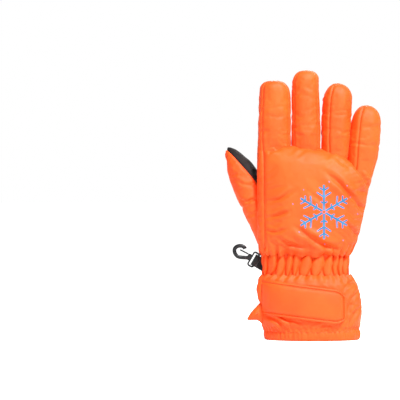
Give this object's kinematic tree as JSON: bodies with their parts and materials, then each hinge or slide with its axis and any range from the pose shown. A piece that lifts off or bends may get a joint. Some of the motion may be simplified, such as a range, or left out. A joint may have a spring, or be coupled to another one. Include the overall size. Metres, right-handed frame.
{
  "type": "ski glove",
  "caption": "Padded right-hand ski glove with gathered wrist, hook-and-loop cuff strap, grip palm and a snap hook on a webbing tab.",
  "frame": {"origin": "on the resting plane of the hem, under the middle of the glove's bounding box", "axes": "+Z from the hem to the fingertips, -Y out of the back of the hand, -X to the thumb"},
  "size_m": [0.131, 0.0558, 0.2295],
  "materials": {
    "orange_nylon": "woven nylon, slight sheen",
    "black_grip": "matt coated grip fabric",
    "insulated_lining": "brushed fleece",
    "elastic": "woven elastic",
    "hook_and_loop": "hook-and-loop tape",
    "black_webbing": "ribbed webbing",
    "black_plastic": "moulded acetal, satin"
  },
  "bodies": {
    "cuff": {"cuff_back_panel": "orange_nylon", "cuff_palm_panel": "orange_nylon", "cuff_lining": "insulated_lining", "hem_band": "orange_nylon", "gusset_fold": "orange_nylon", "wrist_band": "orange_nylon", "wrist_elastic": "elastic", "cuff_loop_tape": "hook_and_loop", "webbing_tab": "black_webbing"},
    "hand": {"hand_back_panel": "orange_nylon", "palm_patch": "black_grip", "thumb_base_panel": "orange_nylon", "palm_upper_panel": "orange_nylon", "index_edge_panel": "orange_nylon", "little_edge_panel": "orange_nylon", "knuckle_web": "orange_nylon", "hand_lining": "insulated_lining"},
    "index_finger": {"index_back_panel": "orange_nylon", "index_side_strip": "orange_nylon", "index_palm_panel": "orange_nylon", "index_lining": "insulated_lining"},
    "middle_finger": {"middle_back_panel": "orange_nylon", "middle_side_strip": "orange_nylon", "middle_palm_panel": "orange_nylon", "middle_lining": "insulated_lining"},
    "ring_finger": {"ring_back_panel": "orange_nylon", "ring_side_strip": "orange_nylon", "ring_palm_panel": "orange_nylon", "ring_lining": "insulated_lining"},
    "little_finger": {"little_back_panel": "orange_nylon", "little_side_strip": "orange_nylon", "little_palm_panel": "orange_nylon", "little_lining": "insulated_lining"},
    "thumb": {"thumb_outer_panel": "orange_nylon", "thumb_inner_panel": "black_grip", "thumb_lining": "insulated_lining"},
    "strap": {"strap": "orange_nylon", "strap_hook_tape": "hook_and_loop"},
    "snap_hook": {"snap_hook": "black_plastic"},
    "hook_gate": {"hook_gate": "black_plastic"}
  },
  "joints": [
    {"name": "wrist_bend", "type": "hinge", "parent": "cuff", "child": "hand", "pos_m": [0.00272, 0.00242, 0.072], "axis": [-1, 0, 0], "range_deg": [-20, 25]},
    {"name": "index_bend", "type": "hinge", "parent": "hand", "child": "index_finger", "pos_m": [-0.02483, 0.01432, 0.1652], "axis": [-1, 0, 0.0027], "range_deg": [0, 60]},
    {"name": "middle_bend", "type": "hinge", "parent": "hand", "child": "middle_finger", "pos_m": [0.0028, 0.01432, 0.1652], "axis": [-1, 0, -0.0012], "range_deg": [0, 60]},
    {"name": "ring_bend", "type": "hinge", "parent": "hand", "child": "ring_finger", "pos_m": [0.02871, 0.01432, 0.1627], "axis": [-0.9994, 0, 0.0358], "range_deg": [0, 60]},
    {"name": "little_bend", "type": "hinge", "parent": "hand", "child": "little_finger", "pos_m": [0.05325, 0.01432, 0.1536], "axis": [-0.999, 0, 0.0448], "range_deg": [0, 60]},
    {"name": "thumb_bend", "type": "hinge", "parent": "hand", "child": "thumb", "pos_m": [-0.0439, 0.02305, 0.12116], "axis": [-0.9512, -0.0354, -0.3065], "range_deg": [0, 45]},
    {"name": "strap_peel", "type": "hinge", "parent": "cuff", "child": "strap", "pos_m": [-0.03408, -0.00958, 0.037], "axis": [0, 0, -1], "range_deg": [0, 110]},
    {"name": "hook_swing", "type": "hinge", "parent": "cuff", "child": "snap_hook", "pos_m": [-0.03968, 0.00142, 0.067], "axis": [0.5, 0, 0.866], "range_deg": [-60, 60]},
    {"name": "gate_press", "type": "hinge", "parent": "snap_hook", "child": "hook_gate", "pos_m": [-0.04644, 0.00142, 0.07309], "axis": [0, -1, 0], "range_deg": [0, 12], "stiffness_Nm_per_rad": 0.004}
  ]
}
